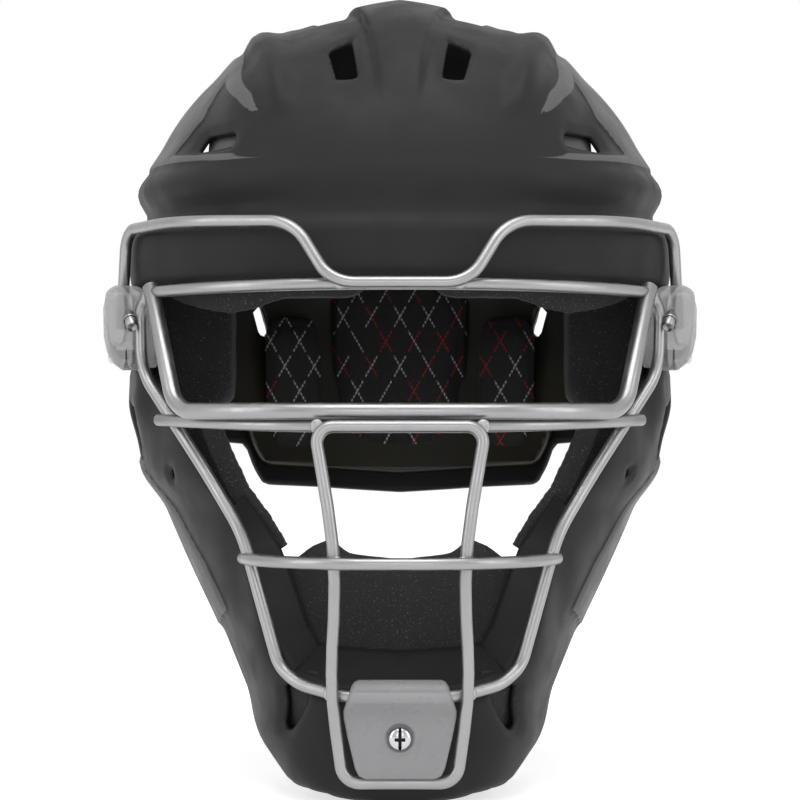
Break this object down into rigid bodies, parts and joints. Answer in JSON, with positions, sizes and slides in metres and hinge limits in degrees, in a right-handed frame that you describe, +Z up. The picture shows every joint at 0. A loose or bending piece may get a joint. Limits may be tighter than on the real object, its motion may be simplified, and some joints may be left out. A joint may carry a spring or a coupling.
{
  "type": "catcher helmet",
  "caption": "Two-piece catcher helmet: vented shell with jaw guard, welded wire face cage held by clips, pads inside and a sprung rear plate.",
  "frame": {"origin": "midway between the wearer's ear canals, where a headform has its reference plane", "axes": "+Z up, the helmet faces -Y, +X towards the wearer's left"},
  "size_m": [0.2374, 0.3012, 0.3133],
  "materials": {
    "shell": "matt, fine texture",
    "cage": "satin",
    "clip": "clear, slightly frosted",
    "screw": "bright",
    "foam": "matt closed-cell foam",
    "liner_foam": "smooth foam",
    "liner_fabric": "knitted, printed",
    "webbing": "woven elastic",
    "rivet": "satin"
  },
  "bodies": {
    "helmet": {"main_shell": "shell", "brow_wire": "cage", "eye_port_bar": "cage", "eye_top_bar": "cage", "cheek_bar": "cage", "jaw_wire": "cage", "centre_loop": "cage", "mouth_bar": "cage", "cage_studs": "cage", "side_clip_left": "clip", "side_clip_right": "clip", "chin_clip": "clip", "side_clip_screws": "screw", "chin_clip_screw": "screw", "side_clip_nuts": "screw", "chin_clip_nut": "screw", "temple_pad_left": "foam", "temple_pad_right": "foam", "jaw_pad_left": "foam", "jaw_pad_right": "foam", "chin_pad": "foam", "crown_pad": "foam", "side_crown_pad_left": "foam", "side_crown_pad_right": "foam", "rear_pad": "foam", "brow_pad_left": "foam", "brow_pad_right": "foam", "shell_strap_rivets": "rivet"},
    "top_strap": {"top_strap": "webbing"},
    "rear_plate": {"rear_plate": "shell", "rear_plate_foam": "liner_foam", "nape_pad": "liner_fabric", "side_nape_pad_left": "liner_fabric", "side_nape_pad_right": "liner_fabric", "side_strap_left": "webbing", "side_strap_right": "webbing", "plate_strap_rivets": "rivet"}
  },
  "joints": [
    {"name": "plate_pull", "type": "slide", "parent": "helmet", "child": "top_strap", "axis": [0, 1, 0], "range_m": [0, 0.022], "stiffness_N_per_m": 400, "springref_m": -0.01, "deforming": ["top_strap", "side_strap_left", "side_strap_right"]},
    {"name": "plate_tilt", "type": "hinge", "parent": "top_strap", "child": "rear_plate", "pos_m": [0, 0.111, 0.097], "axis": [1, 0, 0], "range_deg": [0, 15], "stiffness_Nm_per_rad": 0.8, "springref_deg": -5.73}
  ]
}
